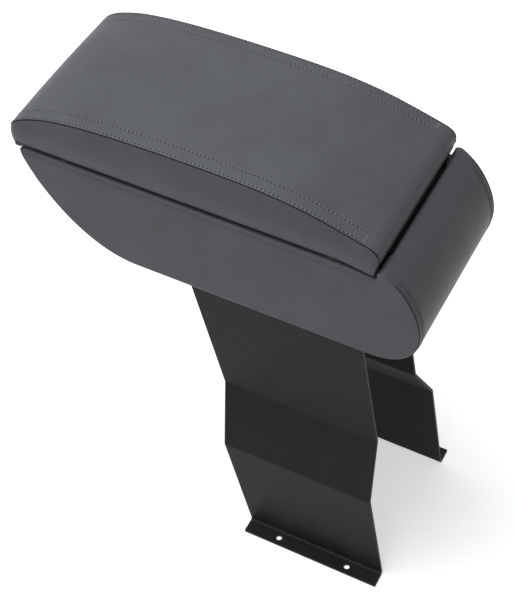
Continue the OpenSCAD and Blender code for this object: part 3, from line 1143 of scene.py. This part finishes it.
    def rows_of_stitches(self) -> list[bpy.types.Object]:
        """Sews the two rows beside each seam, and the tack that joins them at the rear.

        Returns:
            The thread, and the painted shade of the needle holes and the seams' lines.
        """
        thread = bmesh.new()
        holes = bmesh.new()
        close = Stitching(pitch=3.4 * MM, length=2.2 * MM)
        tack = Stitching(pitch=2.4 * MM, length=2.2 * MM)
        # Dark cords along both seams: painted shade for their grooves.
        for side in SIDES.values():
            seam = self.route(Panel.MIDDLE, side, *self.seam_ends, self.route_steps)
            close.line(holes, self.outside, seam, self.seam_line)
        rows = [1.0 - inset / self.seam_y for inset in (self.first_row, self.second_row)]
        for side in SIDES.values():
            for w in rows:
                route = self.route(Panel.MIDDLE, side * w, *self.row_ends, self.route_steps)
                LOG.info("stitches in a row of the lid: %d", close.sew(thread, self.outside, route))
                # Dark domes at each stitch's ends: painted shade for the needle holes.
                close.sew(holes, self.outside, route, holes=True)
            ends = [self.place(self.tack_share, Panel.MIDDLE, side * w) for w in rows]
            for shift in (Vector(), Vector((self.tack_gap, 0.0, 0.0))):
                steps = [k / self.tack_steps for k in range(self.tack_steps + 1)]
                route = [ends[0].lerp(ends[1], step) + shift for step in steps]
                tack.sew(thread, self.outside, route)
        sewn = new_piece("lid_topstitching", thread, self.thread)
        return [sewn, new_piece("lid_hole_and_seam_shade", holes, self.hole)]


@dataclass
class BoxUpholstery(Upholstery):
    """The box's skin: a band round the front, the bottom and the hump, sewn to two side panels.

    The side panels round in at the seam by edge_share of what edge_radius gives, at the rim by rim_radius,
    and beside the hump's front by hump_share of that radius. Within hinge_half of the middle the band ends
    on the hinge's leaf, lip_gap behind its front and at most lip_drop below the hump's top.
    """

    edge_radius: float = 4.0 * MM
    edge_share: float = 0.45
    seam_inset: float = 1.6 * MM
    seam_gap: float = 0.5 * MM
    rim_radius: float = 4.5 * MM
    hump_depth: float = 37.0 * MM
    hump_rise: float = 8.0 * MM
    hump_share: float = 0.4
    rim_start: float = 0.5 * MM
    rim_spread: float = 2.0 * MM
    hump_roll: float = 3.0 * MM
    skin: float = 1.4 * MM
    padding: float = 3.0 * MM
    plate: float = 8.0 * MM
    face_gap: float = 1.6 * MM
    face_slack: float = 0.1 * MM
    hinge_half: float = 53.0 * MM
    hinge_reach: float = 4.0 * MM
    lip_gap: float = 2.2 * MM
    lip_drop: float = 1.2 * MM
    weld_gap: float = 0.03 * MM
    slope_step: float = 0.002
    # Radius of the dark cord along each edge seam, painted shade for the seam's groove.
    seam_line: float = 0.35 * MM
    seam_ends: tuple[float, float] = (0.01, 0.96)
    row_insets: tuple[float, float] = (4.0 * MM, 6.5 * MM)
    row_ends: tuple[float, float] = (0.02, 0.96)
    route_steps: int = 400

    def __post_init__(self) -> None:
        """Takes the sizes from the frame, and draws the box's side line and the rows."""
        low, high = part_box("box_wrap_cover")
        self.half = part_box("box_side_cover_left")[1].y
        self.inner = self.half - self.padding - self.plate
        self.low = low.z
        self.hump = high.z
        self.rim = high.z - self.hump_rise
        self.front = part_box("box_side_cover_left")[0].x
        self.rail_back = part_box("front_rail")[1].x
        self.wall = high.x - self.hump_depth
        self.face = self.wall - self.face_gap
        self.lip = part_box("hinge_box_leaf")[0].x + self.lip_gap
        f, z, b, h = self.front, self.low, high.x, self.rim - self.low
        roll = (self.wall + 0.004, self.hump)
        self.line = SideLine([
            [(f, self.rim), (f + 0.011, self.rim - 0.36 * h), (f + 0.049, z + 0.003), (f + 0.097, z)],
            [(f + 0.097, z), (f + 0.14, z), (b - 0.09, z), (b - 0.0395, z)],
            [(b - 0.0395, z), (b - 0.017, z), (b, z + 0.15 * h), (b, z + 0.43 * h)],
            [(b, z + 0.43 * h), (b, z + 0.7 * h), (b - 0.0175, self.hump - 0.008), roll],
            [roll, (self.wall + 0.0025, self.hump), (self.face, self.hump - 0.0005),
             (self.face, self.hump - self.hump_roll)],
        ])
        self.turn = self.share_at_wall()
        self.shares = shares(plain=140, close=16, turn=0.965)
        self.set_rows(
            side=[1.0, 0.985, 0.965, 0.94, 0.9, 0.82, 0.7, 0.55, 0.4, 0.27, 0.17, 0.1, 0.06, 0.035, 0.015],
            middle=[-1.0, -0.985, -0.965, -0.94, -0.9, -0.83, -0.75, -0.722, -0.711, -0.69, -0.5, -0.25],
        )

    def share_at_wall(self) -> float:
        """Share of the side line where it passes under the rear wall.

        Returns:
            The share.
        """
        spots = ((k / 1000, self.line.at(k / 1000)) for k in range(1001))
        return next(share for share, p in spots if p.x > self.wall - 2.0 * MM and p.y < self.low + 10.0 * MM)

    def strip_end(self, share: float, p: Vector) -> Vector:
        """Where the strip of side panel that starts at a seam point ends, on the rim or the hump's front.

        Args:
            share: Share of the way along the side line.
            p: The seam point.

        Returns:
            The end.
        """
        if share < self.turn:
            return Vector((max(p.x, self.front + self.rim_start + share * self.rim_spread), self.rim))
        k = (share - self.turn) / (1.0 - self.turn)
        return Vector((self.face, self.rim + (self.hump - self.hump_roll - self.rim) * k))

    def place(self, share: float, panel: Panel, w: float) -> Vector:
        """A surface point.

        Args:
            share: Share of the way along the side line.
            panel: The panel.
            w: Place across the band from -1 to 1, or up a side panel from 0 at the seam to 1.

        Returns:
            The point.
        """
        p = self.line.at(share)
        if panel is Panel.MIDDLE:
            return self.band_place(share, p, w)
        end = self.strip_end(share, p)
        q = p.lerp(end, w)
        y = self.half - rounding((q - p).length + self.seam_gap, self.edge_radius) * self.edge_share
        if share < self.turn:
            y -= rounding(self.rim - q.y, self.rim_radius)
        else:
            y -= rounding((end - q).length, self.rim_radius * self.hump_share)
        return Vector((q.x, -y if panel is Panel.NEAR else y, q.y))

    def band_place(self, share: float, p: Vector, w: float) -> Vector:
        """A point on the band, whose edges round in to the seams and which ends at the hinge's leaf.

        Args:
            share: Share of the way along the side line.
            p: The side line's point.
            w: Place across the band.

        Returns:
            The point.
        """
        y = w * (self.half - self.seam_inset)
        inset = rounding(self.half - abs(y), self.edge_radius)
        after = self.line.at(min(share + self.slope_step, 1.0))
        ahead = after - self.line.at(max(share - self.slope_step, 0.0))
        inward = Vector((-ahead.y, ahead.x)).normalized()
        q = p + inward * inset
        if q.y > self.rim and abs(q.x - self.wall) < self.hinge_reach and abs(y) < self.hinge_half:
            return Vector((max(q.x, self.lip), y, max(q.y, self.hump - self.lip_drop)))
        return Vector((q.x, y, q.y))

    def build(self) -> bpy.types.Object:
        """Makes the skin, turns its rim in over the carcass and gives it its thickness.

        Returns:
            The piece.
        """
        bm = self.laid()
        weld(bm, self.weld_gap)
        for v in extrude_rim(bm):
            on_face = v.co.x > self.face - self.face_slack
            v.co.x = max(v.co.x, self.rail_back)
            v.co.y = min(max(v.co.y, -self.inner), self.inner)
            if not on_face:
                v.co.z = self.rim
        weld(bm, self.weld_gap)
        turn_outward(bm)
        obj = new_piece("box_upholstery", bm, self.finish)
        smooth_once(obj)
        self.outside = tree_of(obj)
        thicken(obj, self.skin)
        return obj

    def rows_of_stitches(self) -> list[bpy.types.Object]:
        """Sews the twin rows along the edge seam of each side.

        Returns:
            The thread, and the painted shade of the needle holes and the seams' lines.
        """
        thread = bmesh.new()
        holes = bmesh.new()
        stitching = Stitching(pitch=3.2 * MM, length=2.0 * MM, thickness=0.5 * MM)
        for panel, side in SIDES.items():
            edge = self.route(panel, 0.0, *self.seam_ends, self.route_steps)
            # Dark cord along the edge seam: painted shade for its groove.
            stitching.line(holes, self.outside, edge, self.seam_line)
            for inset in self.row_insets:
                w = side * (1.0 - inset / self.half)
                route = self.route(Panel.MIDDLE, w, *self.row_ends, self.route_steps)
                LOG.info("stitches in a row of the box: %d", stitching.sew(thread, self.outside, route))
                # Dark domes at each stitch's ends: painted shade for the needle holes.
                stitching.sew(holes, self.outside, route, holes=True)
        sewn = new_piece("box_topstitching", thread, self.thread)
        return [sewn, new_piece("box_hole_and_seam_shade", holes, self.hole)]


# The studio


def seen_rays(tree: bpy.types.NodeTree) -> bpy.types.NodeSocket:
    """A factor that is 1 on camera, glossy and transmission rays and 0 on the rays that light the object.

    Args:
        tree: The node tree that it is added to.

    Returns:
        The output socket.
    """
    path = tree.nodes.new("ShaderNodeLightPath")
    factor = path.outputs["Is Camera Ray"]
    for name in ("Is Glossy Ray", "Is Transmission Ray"):
        either = tree.nodes.new("ShaderNodeMath")
        either.operation = "MAXIMUM"
        tree.links.new(factor, either.inputs[0])
        tree.links.new(path.outputs[name], either.inputs[1])
        factor = either.outputs["Value"]
    return factor


@dataclass(frozen=True)
class Lamp:
    """A square soft lamp that faces the object: its place, its side and its power in watts."""

    name: str
    place: tuple[float, float, float]
    size: float
    power: float
    tint: Colour = (1.0, 1.0, 1.0)
    aim: tuple[float, float, float] = (0.0, 0.0, 0.3)

    def hang(self) -> None:
        """Adds the lamp to the scene."""
        data = bpy.data.lights.new(self.name, "AREA")
        data.size = self.size
        data.energy = self.power
        data.color = self.tint
        obj = bpy.data.objects.new(self.name, data)
        obj.location = self.place
        way = Vector(self.aim) - Vector(self.place)
        obj.rotation_euler = way.to_track_quat("-Z", "Y").to_euler()
        bpy.context.scene.collection.objects.link(obj)


@dataclass(frozen=True)
class Studio:
    """Camera, soft lamps, a white surround and a pale floor."""

    azimuth: float = 26.949
    elevation: float = 48.479
    focal_px: float = 1629.4
    frame_px: int = 600
    sensor: float = 36.0
    place: tuple[float, float, float] = (0.422529, -0.822868, 1.263612)
    lamps: tuple[Lamp, ...] = (
        Lamp("overhead", (-0.6, -0.2, 2.2), size=1.4, power=41.0, tint=(0.96, 0.99, 1.06)),
        Lamp("front", (0.1, -2.1, 1.3), size=1.3, power=9.0),
    )
    fill: float = 0.21
    floor_half: float = 6.0
    floor_dark: Colour = (0.83, 0.83, 0.83)
    floor_light: Colour = (0.86, 0.86, 0.86)
    floor_glow: float = 0.56

    def build(self) -> None:
        """Makes the whole studio."""
        bpy.context.scene.view_settings.view_transform = "Standard"
        self.camera()
        for lamp in self.lamps:
            lamp.hang()
        self.world()
        self.floor()

    def camera(self) -> None:
        """Sets the camera up at the photograph's angle and scale."""
        data = bpy.data.cameras.new("camera")
        data.sensor_width = self.sensor
        data.lens = self.focal_px * self.sensor / self.frame_px
        data.clip_end = 50.0
        obj = bpy.data.objects.new("camera", data)
        a = math.radians(self.azimuth)
        e = math.radians(self.elevation)
        back = Vector((math.sin(a) * math.cos(e), -math.cos(a) * math.cos(e), math.sin(e)))
        obj.rotation_euler = (-back).to_track_quat("-Z", "Y").to_euler()
        obj.location = self.place
        bpy.context.scene.collection.objects.link(obj)
        bpy.context.scene.camera = obj

    def world(self) -> None:
        """A white surround that camera, glossy and transmission rays see, and a dimmer one that lights."""
        world = bpy.data.worlds.new("surround")
        world.use_nodes = True
        bpy.context.scene.world = world
        nodes = world.node_tree.nodes
        links = world.node_tree.links
        back = nodes["Background"]
        strength = nodes.new("ShaderNodeMix")
        strength.inputs["A"].default_value = self.fill
        strength.inputs["B"].default_value = 1.0
        links.new(seen_rays(world.node_tree), strength.inputs["Factor"])
        links.new(strength.outputs["Result"], back.inputs["Strength"])
        back.inputs["Color"].default_value = (1.0, 1.0, 1.0, 1.0)

    def floor(self) -> None:
        """A wide pale floor that keeps the object's shadow, and glows faintly where it is seen."""
        bm = bmesh.new()
        bmesh.ops.create_grid(bm, x_segments=4, y_segments=4, size=self.floor_half)
        g = Graph("pale_floor")
        g.put(Roughness=0.9, Specular_IOR_Level=0.1)
        g.colour(g.noise(3.0), self.floor_dark, self.floor_light)
        glow = g.nodes.new("ShaderNodeMath")
        glow.operation = "MULTIPLY"
        glow.inputs[1].default_value = self.floor_glow
        g.links.new(seen_rays(g.material.node_tree), glow.inputs[0])
        g.shader.inputs["Emission Color"].default_value = (1.0, 1.0, 1.0, 1.0)
        g.links.new(glow.outputs["Value"], g.shader.inputs["Emission Strength"])
        new_piece("floor", bm, g.material)


def dress_frame(nodes: dict[str, bpy.types.Object], leather: bpy.types.Material) -> None:
    """Gives every piece of the frame its finish.

    Args:
        nodes: The frame's pieces by name.
        leather: The finish of the upholstery, which all pieces that aren't named here take.
    """
    dressed = (
        (PowderCoat(), ("saddle_bracket", "hinge_box_leaf", "hinge_pin", "hinge_lid_leaf")),
        (ZincSteel(), ("bracket_bolts", "bracket_washers", "tee_nuts", "carcass_screws", "hinge_box_screws",
                       "hinge_lid_screws")),
        (Plywood(), ("side_plate_left", "side_plate_right", "floor_board", "bow_panel", "front_rail",
                     "rear_wall", "lid_board")),
        (Felt(), ("compartment_lining", "lid_lining")),
        (Rubber(), ("rim_buffers",)),
    )
    finishes = {}
    for finish, names in dressed:
        finishes.update(dict.fromkeys(names, finish.make()))
    for name, obj in nodes.items():
        obj.data.materials.clear()
        obj.data.materials.append(finishes.get(name, leather))


def main(frame: dict) -> None:
    """Builds the armrest around the frame.

    Args:
        frame: The loaded frame.
    """
    logging.basicConfig(level=logging.INFO, format="%(name)s %(message)s")
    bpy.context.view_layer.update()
    Studio().build()
    leather = Leatherette().make()
    dress_frame(frame["nodes"], leather)

    # Near black and barely glossy: painted shade for the seams' grooves and the needle holes.
    shade = Thread("seam_shade", (0.008, 0.008, 0.009), sheen=0.0, gloss=0.06).make()
    lid = LidCushion(leather, Thread("lid_thread").make(), shade)
    cushion = lid.build()
    for piece in [cushion, *lid.rows_of_stitches()]:
        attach(piece, Body.LID.value)
        LOG.info("%s: %d faces", piece.name, len(piece.data.polygons))
    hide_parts("lid_foam", "lid_top_cover", "lid_side_cover_left", "lid_side_cover_right")

    box = BoxUpholstery(leather, Thread("box_thread", (0.045, 0.047, 0.05)).make(), shade)
    skin = box.build()
    for piece in [skin, *box.rows_of_stitches()]:
        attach(piece, Body.BASE.value)
        LOG.info("%s: %d faces", piece.name, len(piece.data.polygons))
    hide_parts("hump_pad", "box_wrap_cover", "box_side_cover_left", "box_side_cover_right")


if __name__ == "__main__":
    main(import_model())
